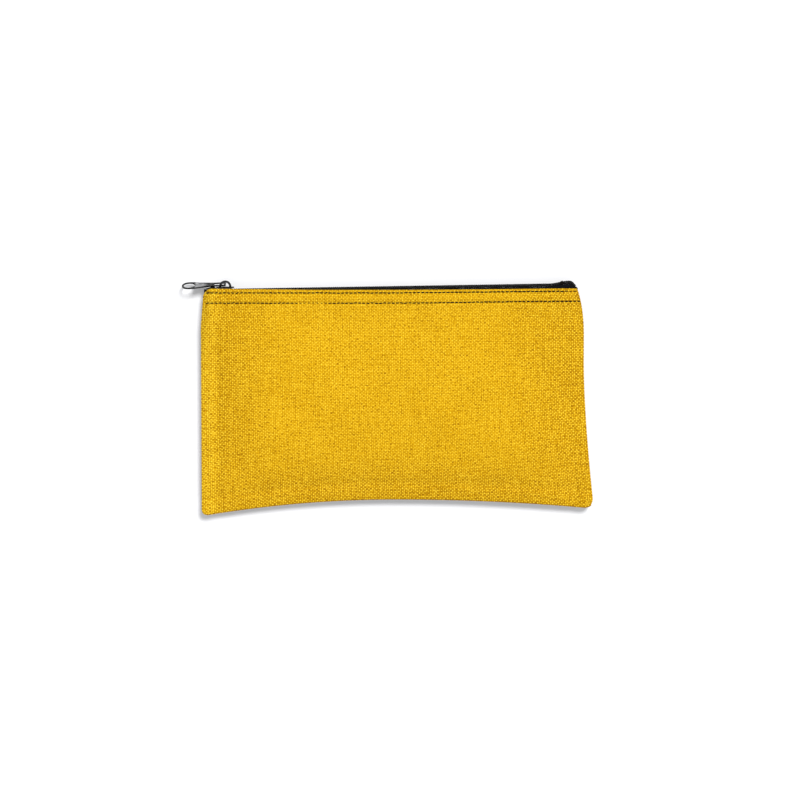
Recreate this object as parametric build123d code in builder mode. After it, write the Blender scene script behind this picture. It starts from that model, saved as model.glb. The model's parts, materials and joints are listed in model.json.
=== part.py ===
from build123d import *
import math
import os

os.makedirs("parts", exist_ok=True)

# A zipped canvas deposit bag, standing on its long seam. X runs along the zipper, -Y is
# the front and +Z is up. The origin is the middle of the flat back face, on which the bag
# rests. Profiles are drawn on the seam plane, SEAM, where the two walls meet: its local X
# is the row's X, and its local Y is the height above the lowest corner of the bag.

# ---- driving dimensions, millimetres ----
LEFT_EDGE = -139.7           # left side seam
LEFT_TOP = -137.6            # left end of the mouth
LEFT_TURN = 135.0            # height where the left side starts to lean in
RIGHT_TOP = 129.4            # right end of the mouth
RIGHT_MIDDLE = 133.8         # right side seam half way up
RIGHT_FOOT = 141.0           # lower right corner
RIGHT_TURN = 110.0           # height where the right side starts to lean out
TOP = 162.0                  # height of the folded edge of the mouth
ARCH_HEIGHT = 11.1           # how far the bottom edge rises in the middle
ARCH_DROP_LEFT = 12.0        # how far it comes down again at the left corner
ARCH_DROP_RIGHT = 5.0        # how far it comes down again at the right corner
FOOT_RADIUS = 5.0
MOUTH_RADIUS = 4.0
RIGHT_LEAN = 1.3             # the right end of the hem stands this far inside the seam

CANVAS = 1.0                 # one layer of the cloth
SEAM_GAP = 0.15              # half the gap between the two walls at a seam
ALLOWANCE = 9.5              # cloth turned inside along each seam
EDGE = SEAM_GAP + 1.8 * CANVAS   # half thickness of the bag along a seam
FRONT_BULGE = 11.0           # deepest part of the front wall, from the seam plane
BACK_BULGE = 9.6             # the same at the back, before it is laid flat
BACK_FLAT = 8.0              # the back rests flat at this depth
REST_HEIGHT = 75.0           # middle of the back face above the lowest corner
HEM = 13.0                   # double cloth along the mouth
HEM_FACE = 7.2               # outer face of the hem from the seam plane

STITCH_PITCH = 3.0
STITCH_LENGTH = 2.1
STITCH_WIDTH = 0.6
STITCH_RISE = 0.4
STITCH_CLEAR = 0.02
STITCH_ROWS = {"upper": 3.0, "lower": 10.2}    # below the folded edge
STITCH_COUNT = 84
STITCH_MIDDLE = -4.0         # X of the middle of each row

CHAIN_SLOPE = 0.93           # degrees: the zipper climbs towards the right
CHAIN_HEIGHT = 161.6         # height of the upper face of the tape at X = 0
TAPE = 0.55
TAPE_EDGE = 0.75             # inner edge of each tape from the middle
TAPE_WALL = 4.9              # where the tape turns down inside the hem
TAPE_DEPTH = 12.6
TAPE_LEFT = -132.5
TAPE_RIGHT = 125.0
COIL_OUTER = 3.0
COIL_INNER = 0.5
COIL_HEIGHT = 2.15
COIL_LEFT = -130.8
COIL_RIGHT = 117.0
CORE_RADIUS = 0.45
COIL_THREAD_RADIUS = 0.15

FOLD_START = 118.0           # folded end of the tape at the right of the chain
FOLD_PEAK = 123.5
FOLD_RIGHT = 129.0
FOLD_HEIGHT = 4.6
FOLD_WIDTH = 3.1
TUCK_LEFT = -136.6           # left end of the tape, in the corner of the bag
TUCK_HEIGHT = 3.0
SEAM_INSET = 1.4             # seam thread from the outline
SEAM_THREAD = 0.26
OVERLOCK_RADIUS = 0.45
OVERLOCK_INSET = ALLOWANCE + OVERLOCK_RADIUS + 0.1

SLIDER_AT = -122.2           # middle of the closed slider, along the chain
SLIDER_LENGTH = 12.6
SLIDER_HALF_WIDTH = 4.4
SLIDER_PLATE = 1.15
SLIDER_ROUND = 0.4
SLIDER_FLANGE = 1.05
CHANNEL_TOP = 2.75
CHANNEL_FLOOR = -0.95
BRIDGE_OUTER = 4.4
BRIDGE_INNER = 2.85
BRIDGE_HALF_WIDTH = 0.8

PULL_LENGTH = 31.0           # from the pin of the pull to its tip
PULL_THICKNESS = 1.0
PULL_ROUND = 0.25
PULL_ROLL = 25.0             # degrees: the pull leans towards the front
PULL_DROOP = 2.5             # degrees: its tip hangs below level
PULL_PIVOT_HEIGHT = 5.7      # above the tape
PULL_NECK_WIDTH = 5.2
PULL_TIP_WIDTH = 10.2
PULL_EYE_WIDTH = 3.0
PULL_EYE_LENGTH = 7.2
PULL_PIN = 1.0

# the plane where the two walls meet
SEAM = Plane(origin=(0, -BACK_FLAT, -REST_HEIGHT), x_dir=(1, 0, 0), z_dir=(0, -1, 0))


# ---- shape of the outline and of the walls ----
def bottom_at(x):
    drop = ARCH_DROP_LEFT if x < 0 else ARCH_DROP_RIGHT
    return ARCH_HEIGHT - drop * (x / abs(LEFT_EDGE)) ** 2


def eased(distance, reach):
    return math.sin(math.pi / 2 * max(0.0, min(1.0, distance / reach)))


def hem_depth(x):
    distance = min(x - LEFT_EDGE, RIGHT_MIDDLE - RIGHT_LEAN - x)
    return EDGE + (HEM_FACE - EDGE) * eased(distance, 6.0)


def wall_depth(x, bulge):
    distance = min(x - LEFT_EDGE, RIGHT_MIDDLE - x)
    return EDGE + (bulge - EDGE) * eased(distance, 75.0)


def left_at(z):
    return LEFT_EDGE + (LEFT_TOP - LEFT_EDGE) * max(0.0, (z - LEFT_TURN) / (TOP - LEFT_TURN))


def right_at(z):
    below = max(0.0, (RIGHT_TURN - z) / RIGHT_TURN) ** 1.9
    above = max(0.0, (z - RIGHT_TURN - 15) / (TOP - RIGHT_TURN - 15)) ** 2.5
    return RIGHT_MIDDLE + (RIGHT_FOOT - RIGHT_MIDDLE) * below - (RIGHT_MIDDLE - RIGHT_TOP) * above


def outline_sketch(inset):
    """The bag seen from the front, X to the right and Z up, drawn this far inside its edge."""
    left = LEFT_EDGE + inset
    right = RIGHT_FOOT - inset
    left_foot = (left, bottom_at(left) + inset)
    right_foot = (right, bottom_at(right) + inset)
    heights = (TOP, 148, 125, 100, 70, 40)
    with BuildSketch() as drawn:
        with BuildLine():
            Polyline(left_foot, (left, LEFT_TURN), (LEFT_TOP + inset, TOP),
                     (RIGHT_TOP - inset, TOP))
            Spline(*[(right_at(z) - inset, z) for z in heights], right_foot)
            Spline(right_foot, *[(x, bottom_at(x) + inset) for x in (67, 0, -70)], left_foot)
        make_face()
    return drawn.sketch


with BuildSketch() as outline:
    add(outline_sketch(0))
    feet = outline.vertices().group_by(Axis.Y)[0] + outline.vertices().group_by(Axis.X)[-1]
    fillet(feet, radius=FOOT_RADIUS)
    fillet(outline.vertices().group_by(Axis.Y)[-1].sort_by(Axis.X)[0], radius=MOUTH_RADIUS)

# the cloth turned inside along the left, bottom and right seams, drawn past the outline
with BuildSketch() as allowance:
    with Locations((0, TOP / 2)):
        Rectangle(2.2 * RIGHT_FOOT, 1.2 * TOP)
    add(outline_sketch(ALLOWANCE), mode=Mode.SUBTRACT)
    with Locations((0, TOP)):
        Rectangle(4 * RIGHT_FOOT, 2 * HEM + 4, mode=Mode.SUBTRACT)


def wall_form(side, bulge, inside):
    """The half of the bag on one side of the seam plane, as one loft along X.

    inside = 0 gives the outer form, inside = CANVAS the hollow that leaves one layer of
    cloth, and two at the hem."""
    near = (0.0, 1.2, 2.5, 4.0, 6.0, 20.0, 45.0, 75.0, 110.0)
    right_end = RIGHT_MIDDLE - RIGHT_LEAN
    stations = [LEFT_EDGE - 4] + [LEFT_EDGE + d for d in near]
    stations += [right_end - d for d in reversed(near)] + [RIGHT_FOOT + 4]
    shoulder = TOP - HEM
    with BuildPart() as form:
        for x in stations:
            foot = bottom_at(x)
            edge = EDGE - inside
            deep = wall_depth(x, bulge) - inside
            hem = hem_depth(x) - inside
            mouth = max(0.3, hem - inside)
            station = SEAM.from_local_coords(Vector(x, 0, 0))
            with BuildSketch(Plane(origin=station, x_dir=(0, side, 0), z_dir=(side, 0, 0))):
                with BuildLine():
                    Polyline((0, TOP + 3), (0, -4), (edge, -4), (edge, foot))
                    Spline((edge, foot), (edge + 0.6 * (deep - edge), foot + 20),
                           (deep, foot + 55), (0.6 * deep + 0.4 * hem, foot + 104),
                           (hem, shoulder))
                    Polyline((hem, shoulder), (mouth, shoulder + 0.5), (mouth, TOP + 3),
                             (0, TOP + 3))
                make_face()
        loft(ruled=True)
    return form.part


front_outer = wall_form(-1, FRONT_BULGE, 0)
front_hollow = wall_form(-1, FRONT_BULGE, CANVAS)
back_outer = wall_form(1, BACK_BULGE, 0)
back_hollow = wall_form(1, BACK_BULGE, CANVAS)

# the block of space inside the outline, used to trim both walls to shape
with BuildPart() as outline_block:
    with BuildSketch(SEAM):
        add(outline.sketch)
    extrude(amount=2 * FRONT_BULGE, both=True)

# ---- the two cloth walls, each with its hem and its turned-in seam allowance ----
with BuildPart() as front_space:
    add(outline_block.part)
    split(bisect_by=SEAM.offset(SEAM_GAP), keep=Keep.TOP)

with BuildPart() as front_panel:
    add(front_outer)
    add(front_hollow, mode=Mode.SUBTRACT)
    with BuildSketch(SEAM.offset(SEAM_GAP - 0.1)):
        add(allowance.sketch)
    extrude(amount=CANVAS + 0.1)
    add(front_space.part, mode=Mode.INTERSECT)
front_panel.part.label = "front_panel"
export_step(front_panel.part, "parts/front_panel.step")

with BuildPart() as back_space:
    add(outline_block.part)
    split(bisect_by=SEAM.offset(-SEAM_GAP), keep=Keep.BOTTOM)
    split(bisect_by=SEAM.offset(-BACK_FLAT), keep=Keep.TOP)

with BuildPart() as back_hollow_flat:
    add(back_hollow)
    split(bisect_by=SEAM.offset(-BACK_FLAT + CANVAS), keep=Keep.TOP)

with BuildPart() as back_panel:
    add(back_outer)
    add(back_hollow_flat.part, mode=Mode.SUBTRACT)
    with BuildSketch(SEAM.offset(-SEAM_GAP + 0.1)):
        add(allowance.sketch)
    extrude(amount=-CANVAS - 0.1)
    add(back_space.part, mode=Mode.INTERSECT)
back_panel.part.label = "back_panel"
export_step(back_panel.part, "parts/back_panel.step")

# ---- zipper: planes that follow the chain, which climbs towards the right ----
slope = math.radians(CHAIN_SLOPE)
along = (math.cos(slope), 0, math.sin(slope))
across_up = (-math.sin(slope), 0, math.cos(slope))


def on_chain(distance, height=0.0):
    """A point in the seam plane, measured along the chain and up from the tape."""
    across = distance * along[0] + height * across_up[0]
    up = CHAIN_HEIGHT + distance * along[2] + height * across_up[2]
    return SEAM.from_local_coords(Vector(across, up, 0))


def cross_plane(distance):
    """Cuts across the chain: local X is world Y, local Y is up from the tape."""
    return Plane(origin=on_chain(distance), x_dir=(0, 1, 0), z_dir=along)


def side_plane(distance, height=0.0):
    """Seen from the front: local X runs along the chain, local Y up from the tape."""
    return Plane(origin=on_chain(distance, height), x_dir=along, z_dir=(0, -1, 0))


def top_plane(distance, height=0.0):
    """Seen from above: local X runs along the chain, local Y to the back."""
    return Plane(origin=on_chain(distance, height), x_dir=along, z_dir=across_up)


for side, name in ((-1, "front"), (1, "back")):
    # woven tape: flat under the coil, then turned down against the inside of the hem
    with BuildPart() as tape:
        with BuildSketch(cross_plane(TAPE_LEFT)):
            with BuildLine() as path:
                FilletPolyline((side * TAPE_EDGE, -TAPE / 2 - 0.02),
                               (side * TAPE_WALL, -TAPE / 2 - 0.02),
                               (side * TAPE_WALL, -TAPE_DEPTH), radius=0.9)
            trace(line_width=TAPE)
        extrude(amount=TAPE_RIGHT - TAPE_LEFT)
        # right end of the tape, folded back over the end of the coil
        with BuildSketch(side_plane(0)):
            with BuildLine():
                Polyline((FOLD_START, -TAPE), (FOLD_RIGHT, -TAPE), (FOLD_RIGHT, 0.8))
                ThreePointArc((FOLD_RIGHT, 0.8), (FOLD_PEAK, FOLD_HEIGHT), (FOLD_START, 2.9))
                Line((FOLD_START, 2.9), (FOLD_START, -TAPE))
            make_face()
        extrude(amount=side * -FOLD_WIDTH)
        # left end, tucked between the corners of the two walls
        with BuildSketch(side_plane(0)):
            with Locations((TUCK_LEFT, -TAPE)):
                Rectangle(TAPE_LEFT - TUCK_LEFT, TUCK_HEIGHT, align=(Align.MIN, Align.MIN))
        extrude(amount=side * -FOLD_WIDTH)
        # clear the seam plane, where the other tape lies
        with BuildSketch(cross_plane(TUCK_LEFT - 1)):
            Rectangle(2 * SEAM_GAP, 3 * TAPE_DEPTH)
        extrude(amount=FOLD_RIGHT - TUCK_LEFT + 2, mode=Mode.SUBTRACT)
    tape.part.label = f"{name}_zipper_tape"
    export_step(tape.part, f"parts/{name}_zipper_tape.step")

    # coil: the flattened envelope of the nylon spiral, hollow for its core cord
    coil_width = COIL_OUTER - COIL_INNER
    coil_middle = side * (COIL_OUTER + COIL_INNER) / 2
    with BuildPart() as coil:
        with BuildSketch(cross_plane(COIL_LEFT)):
            with Locations((coil_middle, COIL_HEIGHT / 2)):
                RectangleRounded(coil_width, COIL_HEIGHT - 0.04, radius=0.7)
                Circle(CORE_RADIUS + 0.05, mode=Mode.SUBTRACT)
        extrude(amount=COIL_RIGHT - COIL_LEFT)
    coil.part.label = f"{name}_coil"
    export_step(coil.part, f"parts/{name}_coil.step")

    with BuildPart() as cord:
        with BuildSketch(cross_plane(COIL_LEFT)):
            with Locations((coil_middle, COIL_HEIGHT / 2)):
                Circle(CORE_RADIUS)
        extrude(amount=COIL_RIGHT - COIL_LEFT)
    cord.part.label = f"{name}_core_cord"
    export_step(cord.part, f"parts/{name}_core_cord.step")

    # two lines of thread that hold the coil down on its tape
    with BuildPart() as coil_thread:
        with BuildSketch(cross_plane(COIL_LEFT)):
            with Locations((coil_middle - 0.5, COIL_HEIGHT + COIL_THREAD_RADIUS),
                           (coil_middle + 0.5, COIL_HEIGHT + COIL_THREAD_RADIUS)):
                Circle(COIL_THREAD_RADIUS)
        extrude(amount=COIL_RIGHT - COIL_LEFT)
    coil_thread.part.label = f"{name}_coil_thread"
    export_step(coil_thread.part, f"parts/{name}_coil_thread.step")

    # two rows of topstitching through the hem
    for row, below in STITCH_ROWS.items():
        with BuildPart() as stitches:
            face = HEM_FACE + STITCH_CLEAR
            with BuildSketch(SEAM.offset(face if side < 0 else -face - STITCH_RISE)):
                with Locations((STITCH_MIDDLE, TOP - below)):
                    with GridLocations(STITCH_PITCH, 0, STITCH_COUNT, 1):
                        SlotOverall(STITCH_LENGTH, STITCH_WIDTH)
            extrude(amount=STITCH_RISE)
        stitches.part.label = f"{name}_{row}_stitches"
        export_step(stitches.part, f"parts/{name}_{row}_stitches.step")

# ---- slider: a top plate with side flanges, a post and a bottom plate ----
half = SLIDER_LENGTH / 2
with BuildPart() as slider_body:
    with BuildSketch(top_plane(SLIDER_AT, CHANNEL_TOP)) as plate:
        Rectangle(SLIDER_LENGTH, 2 * SLIDER_HALF_WIDTH)
        fillet(plate.vertices(), radius=2.6)
    extrude(amount=SLIDER_PLATE)
    fillet(slider_body.faces().sort_by(Axis.Z)[-1].edges(), radius=SLIDER_ROUND)
    with BuildSketch(top_plane(SLIDER_AT, CHANNEL_FLOOR)):
        add(plate.sketch_local)
    extrude(amount=-SLIDER_PLATE)
    fillet(slider_body.faces().sort_by(Axis.Z)[0].edges(), radius=SLIDER_ROUND)
    # flanges that turn down outside the coils and stop above the tape
    with BuildSketch(cross_plane(SLIDER_AT - half + 2)):
        with Locations((-SLIDER_HALF_WIDTH + SLIDER_FLANGE / 2, 0.35),
                       (SLIDER_HALF_WIDTH - SLIDER_FLANGE / 2, 0.35)):
            Rectangle(SLIDER_FLANGE, CHANNEL_TOP - 0.35 + 0.1, align=(Align.CENTER, Align.MIN))
    extrude(amount=SLIDER_LENGTH - 4)
    # post between the two coils
    with BuildSketch(top_plane(SLIDER_AT - half + 2.2, CHANNEL_FLOOR - 0.1)):
        SlotOverall(2.4, 0.7)
    extrude(amount=CHANNEL_TOP - CHANNEL_FLOOR + 0.2)
    # bridge that the pull hangs on
    with BuildSketch(side_plane(SLIDER_AT, CHANNEL_TOP + SLIDER_PLATE)):
        Circle(BRIDGE_OUTER)
        Circle(BRIDGE_INNER, mode=Mode.SUBTRACT)
        with Locations((0, -SLIDER_PLATE / 2)):
            Rectangle(3 * BRIDGE_OUTER, 3 * BRIDGE_OUTER, align=(Align.CENTER, Align.MAX),
                      mode=Mode.SUBTRACT)
    extrude(amount=BRIDGE_HALF_WIDTH, both=True)
    rims = slider_body.edges().filter_by(GeomType.CIRCLE)
    fillet(rims.filter_by(lambda e: BRIDGE_INNER < e.radius <= BRIDGE_OUTER), radius=SLIDER_ROUND)
slider_body.part.label = "slider_body"
export_step(slider_body.part, "parts/slider_body.step")

# ---- pull tab: a flat leaf with an eye at the bridge and a drop-shaped hole at its tip ----
roll = math.radians(PULL_ROLL)
droop = math.radians(PULL_DROOP)
pull_plane = Plane(
    origin=on_chain(SLIDER_AT, PULL_PIVOT_HEIGHT),
    x_dir=(-math.cos(droop), 0, -math.sin(droop)),
    z_dir=(-math.sin(droop) * math.cos(roll), -math.sin(roll), math.cos(droop) * math.cos(roll)),
)
with BuildPart() as pull_tab:
    neck = PULL_NECK_WIDTH / 2
    tip = PULL_TIP_WIDTH / 2
    with BuildSketch(pull_plane) as leaf:
        with BuildLine():
            Line((-PULL_PIN / 2, -neck), (-PULL_PIN / 2, neck))
            Spline((-PULL_PIN / 2, neck), (9, neck), (17, 0.5 * (neck + tip)),
                   (PULL_LENGTH - tip, tip), tangents=((1, 0), (1, 0)))
            ThreePointArc((PULL_LENGTH - tip, tip), (PULL_LENGTH, 0), (PULL_LENGTH - tip, -tip))
            Spline((PULL_LENGTH - tip, -tip), (17, -0.5 * (neck + tip)), (9, -neck),
                   (-PULL_PIN / 2, -neck), tangents=((-1, 0), (-1, 0)))
        make_face()
        with Locations((PULL_PIN / 2 + PULL_EYE_LENGTH / 2, 0)):
            RectangleRounded(PULL_EYE_LENGTH, PULL_EYE_WIDTH, radius=0.6, mode=Mode.SUBTRACT)
        with Locations((PULL_LENGTH - 5.2, 0)):
            Ellipse(4.0, tip - 1.2, mode=Mode.SUBTRACT)
    extrude(amount=PULL_THICKNESS / 2, both=True)
    leaf_faces = pull_tab.faces().sort_by(SortBy.AREA)[-2:]
    fillet(leaf_faces.edges(), radius=PULL_ROUND)
    # shallow recess on both faces between the eye and the hole
    with BuildSketch(pull_plane.offset(PULL_THICKNESS / 2), pull_plane.offset(-PULL_THICKNESS / 2)):
        with Locations((15, 0)):
            RectangleRounded(9, 4.4, radius=1.2)
    extrude(amount=0.15, both=True, mode=Mode.SUBTRACT)
pull_tab.part.label = "pull_tab"
export_step(pull_tab.part, "parts/pull_tab.step")

# ---- threads in the seams, between and around the two turned-in allowances ----
def left_point(z, inset):
    return (left_at(z) + inset, z)


def right_point(z, inset):
    return (right_at(z) - inset, z)


def bottom_point(x, inset):
    return (x, bottom_at(x) + inset)


def seam_stitches(name, start, stop, point_at):
    """A row of flat lockstitches between the two plies, along one seam."""
    count = int((stop - start) / STITCH_PITCH)
    with BuildPart() as row:
        with BuildSketch(SEAM.offset(-SEAM_THREAD / 2)):
            for i in range(count):
                here = start + i * STITCH_PITCH
                x1, z1 = point_at(here, SEAM_INSET)
                x2, z2 = point_at(here + STITCH_LENGTH, SEAM_INSET)
                with Locations(((x1 + x2) / 2, (z1 + z2) / 2)):
                    SlotOverall(STITCH_LENGTH, STITCH_WIDTH,
                                rotation=math.degrees(math.atan2(z2 - z1, x2 - x1)))
        extrude(amount=SEAM_THREAD)
    row.part.label = name
    export_step(row.part, f"parts/{name}.step")


def overlock_cord(name, start, stop, point_at):
    """The bead of thread that binds the raw edges of both plies together."""
    stops = [start + (stop - start) * i / 6 for i in range(7)]
    with BuildPart() as cord:
        with BuildLine(SEAM) as path:
            Spline(*[point_at(s, OVERLOCK_INSET) for s in stops])
        with BuildSketch(Plane(origin=path.line @ 0, z_dir=path.line % 0)):
            Circle(OVERLOCK_RADIUS)
        sweep()
    cord.part.label = name
    export_step(cord.part, f"parts/{name}.step")


seam_top = TOP - HEM - 3
seam_foot = SEAM_INSET + 3
seam_stitches("left_seam_thread", seam_foot, seam_top, left_point)
seam_stitches("right_seam_thread", seam_foot + 8, seam_top, right_point)
seam_stitches("bottom_seam_thread", LEFT_EDGE + seam_foot, RIGHT_FOOT - seam_foot - 2, bottom_point)

bead_foot = OVERLOCK_INSET + 3
overlock_cord("left_overlock_thread", bead_foot, seam_top, left_point)
overlock_cord("right_overlock_thread", bead_foot + 8, seam_top, right_point)
overlock_cord("bottom_overlock_thread", LEFT_EDGE + bead_foot, RIGHT_FOOT - bead_foot - 2,
              bottom_point)

# ---- tacks: close-set bars of thread across both tapes, which stop the slider ----
for name, where in (("left_tack", COIL_LEFT - 1.0), ("right_tack", COIL_RIGHT + 0.5)):
    with BuildPart() as tack:
        with BuildSketch(cross_plane(where - 0.35)):
            for level in (0.35, 1.0, 1.65):
                with Locations((0, level)):
                    SlotOverall(5.6, 0.6)
        extrude(amount=0.6)
    tack.part.label = name
    export_step(tack.part, f"parts/{name}.step")
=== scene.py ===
import json
import math

import bpy
import numpy as np
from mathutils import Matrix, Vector
from mathutils.bvhtree import BVHTree


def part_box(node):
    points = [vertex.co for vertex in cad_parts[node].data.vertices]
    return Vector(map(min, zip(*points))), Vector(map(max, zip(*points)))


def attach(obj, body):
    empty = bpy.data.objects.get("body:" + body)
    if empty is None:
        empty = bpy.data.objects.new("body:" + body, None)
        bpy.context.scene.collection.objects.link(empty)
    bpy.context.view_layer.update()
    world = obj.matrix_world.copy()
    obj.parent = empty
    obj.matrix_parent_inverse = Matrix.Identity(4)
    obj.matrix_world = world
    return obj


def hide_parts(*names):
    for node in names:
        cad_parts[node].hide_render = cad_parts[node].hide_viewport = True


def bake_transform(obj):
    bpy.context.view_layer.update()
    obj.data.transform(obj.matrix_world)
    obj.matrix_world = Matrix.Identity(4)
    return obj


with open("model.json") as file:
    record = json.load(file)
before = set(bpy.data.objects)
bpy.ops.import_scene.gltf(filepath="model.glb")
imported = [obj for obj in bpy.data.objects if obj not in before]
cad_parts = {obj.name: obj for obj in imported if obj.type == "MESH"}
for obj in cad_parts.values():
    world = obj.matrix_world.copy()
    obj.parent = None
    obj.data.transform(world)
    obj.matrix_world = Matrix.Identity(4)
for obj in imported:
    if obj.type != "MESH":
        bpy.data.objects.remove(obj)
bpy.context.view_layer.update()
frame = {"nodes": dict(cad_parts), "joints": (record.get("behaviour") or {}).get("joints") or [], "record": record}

# A zipped canvas deposit bag. Shapes are worked out in millimetres from the foot of the seam
# plane: x along the zipper, y to the back and z up from about the height of the lowest corner.
# mesh_object() turns them into metres in the row's frame.
MM = 0.001
joints = {j["name"]: j for j in frame["joints"]}
FOOT = np.array(joints["mouth_opening"]["pos_m"]) / MM


def box_mm(node):
    """The lowest and the highest corner of a CAD node."""
    low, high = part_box(node)
    return np.array(low) / MM - FOOT, np.array(high) / MM - FOOT


# ---- places taken from the CAD frame ----
wall_low, wall_high = box_mm("front_panel")
coil_low = box_mm("front_coil")[0]
LEFT = wall_low[0]
TOP = wall_high[2]
RIGHT_FOOT = wall_high[0] + 2.1          # where the right side would end if its foot weren't round
FRONT_DEPTH = -wall_low[1]
BACK_DEPTH = box_mm("back_panel")[1][1]
CHAIN_AXIS = np.array(joints["zipper_slide"]["axis"])
CHAIN_UP = np.array([-CHAIN_AXIS[2], 0.0, CHAIN_AXIS[0]])
CHAIN_HEIGHT = coil_low[2] - coil_low[0] * CHAIN_AXIS[2] / CHAIN_AXIS[0]
PULL_LEFT = box_mm("pull_tab")[0][0]

# ---- outline, close to the CAD's ----
LEFT_LEAN = 2.1                          # the left side leans in this much at the mouth
LEFT_TURN = TOP - 27                     # from this height up
RIGHT_MIDDLE = RIGHT_FOOT - 8.4          # the right side where it is straight
RIGHT_LEAN = 5.0                         # it leans in this much at the mouth
RIGHT_TURN = TOP - 52                    # it flares out below this height
RIGHT_STRAIGHT = 15                      # length of the straight part above it
FLARE_POWER = 1.6
LEAN_POWER = 2.5
ARCH = 11.1                              # height of the bottom edge in the middle
ARCH_LEFT = 12.0                         # and how far it falls to either end
ARCH_RIGHT = 6.4
CORNER = {"foot_left": 5.0, "foot_right": 8.0, "mouth_left": 6.0, "mouth_right": 0.9}

# ---- seams and hem ----
CLOTH = 1.0
SEAM_FOLD = 0.55                         # radius of the rolled edge of a seam
INNER_PLY = 0.65                         # turned-in ply from the seam plane
EDGE = INNER_PLY + 2 * SEAM_FOLD         # outer ply from the seam plane, at a seam
ALLOWANCE = 9.5
HEM = 13.0
HEM_FOLD = 0.5
HEM_FACE = 7.2 - CLOTH / 2               # outer ply of the hem from the seam plane
HEM_SIDE = 8                             # it gets there this far from a side
HEM_CLIMB = 0.7                          # the front's mouth rises this much to the right,
HEM_CLIMB_ALONG = (-20, 130)             # along this stretch
HEM_DIP = 0.85                           # the front hem's edge sinks this much along the middle,
HEM_DIP_HEIGHT = 3.2                     # in a strip this high,
HEM_DIP_ALONG = (-135, -45)              # grows here
HEM_DIP_FADE_ALONG = (55, 130)           # and fades here
HEM_DIP_FADE = 0.45                      # by this share
BACK_DROP = 0.7                          # the back's hem lies this much lower
SHIFT_HEIGHTS = (95, 150)                # where the climb and the drop set in and are complete
STITCH_ROWS = {"upper": 3.0, "lower": 10.2}
STITCH_PITCH = 3.0


def smooth(t):
    t = np.clip(t, 0.0, 1.0)
    return t * t * (3 - 2 * t)


def ramp(value, start, end):
    """0 at start and 1 at end, eased at both."""
    return smooth((value - start) / (end - start))


def ease(t):
    return np.sin(math.pi / 2 * np.clip(t, 0.0, 1.0))


def dent(distance, width):
    """1 at distance 0, and fading over the width to either side."""
    return np.exp(-((distance / width) ** 2))


def bottom_at(x):
    return ARCH - np.where(x < 0, ARCH_LEFT, ARCH_RIGHT) * (x / abs(LEFT)) ** 2


def left_at(z):
    return LEFT + LEFT_LEAN * np.clip((z - LEFT_TURN) / (TOP - LEFT_TURN), 0, 1)


def right_at(z):
    flare = np.clip((RIGHT_TURN - z) / RIGHT_TURN, 0, 1) ** FLARE_POWER
    above = z - RIGHT_TURN - RIGHT_STRAIGHT
    lean = np.clip(above / (TOP - RIGHT_TURN - RIGHT_STRAIGHT), 0, 1) ** LEAN_POWER
    return RIGHT_MIDDLE + (RIGHT_FOOT - RIGHT_MIDDLE) * flare - RIGHT_LEAN * lean


def side_gap(x, z):
    """Distance to the nearer side of the outline."""
    return np.minimum(x - left_at(z), right_at(z) - x)


def climb(x):
    """How far the folded edge of the front's mouth rises towards its right end."""
    return HEM_CLIMB * ramp(x, *HEM_CLIMB_ALONG)


def hem_dip(x, z):
    """How far the edge of the front hem sinks below its row of stitches."""
    along = ramp(x, *HEM_DIP_ALONG) - HEM_DIP_FADE * ramp(x, *HEM_DIP_FADE_ALONG)
    return HEM_DIP * along * smooth((z - TOP + HEM_DIP_HEIGHT) / HEM_DIP_HEIGHT)


def hem_depth(side):
    """Outer ply of the hem from the seam plane, at a distance from the nearer side."""
    return EDGE + (HEM_FACE - EDGE) * ease(side / HEM_SIDE)


# ---- mesh helpers ----
def mesh_object(name, points, faces, uvs=None):
    """A mesh object from points in millimetres; uvs holds one (u, v) per point."""
    mesh = bpy.data.meshes.new(name)
    mesh.from_pydata([tuple(p) for p in (np.asarray(points) + FOOT) * MM], [], faces)
    if uvs is not None:
        layer = mesh.uv_layers.new(name="weave")
        loops = np.zeros(len(mesh.loops), np.int32)
        mesh.loops.foreach_get("vertex_index", loops)
        layer.data.foreach_set("uv", np.asarray(uvs, np.float32)[loops].ravel())
    mesh.polygons.foreach_set("use_smooth", [True] * len(mesh.polygons))
    mesh.validate()
    obj = bpy.data.objects.new(name, mesh)
    bpy.context.scene.collection.objects.link(obj)
    return obj


def grid_faces(rows, columns, offset=0, wrap=False):
    """Quads over a rows x columns block of points; wrap closes the columns into a ring."""
    last = columns if wrap else columns - 1
    faces = []
    for i in range(rows - 1):
        for j in range(last):
            k = (j + 1) % columns
            a, b = offset + i * columns, offset + (i + 1) * columns
            faces.append((a + j, a + k, b + k, b + j))
    return faces


def sheet(name, points, weave, side, thickness):
    """Cloth over a grid of points, with weave coordinates; side -1 faces the front, 1 the back."""
    faces = grid_faces(*points.shape[:2])
    if side > 0:
        faces = [f[::-1] for f in faces]
    obj = mesh_object(name, points.reshape(-1, 3), faces, weave.reshape(-1, 2))
    thick = obj.modifiers.new("thickness", "SOLIDIFY")
    thick.thickness = thickness * MM
    thick.offset = 0.0
    return obj


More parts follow.
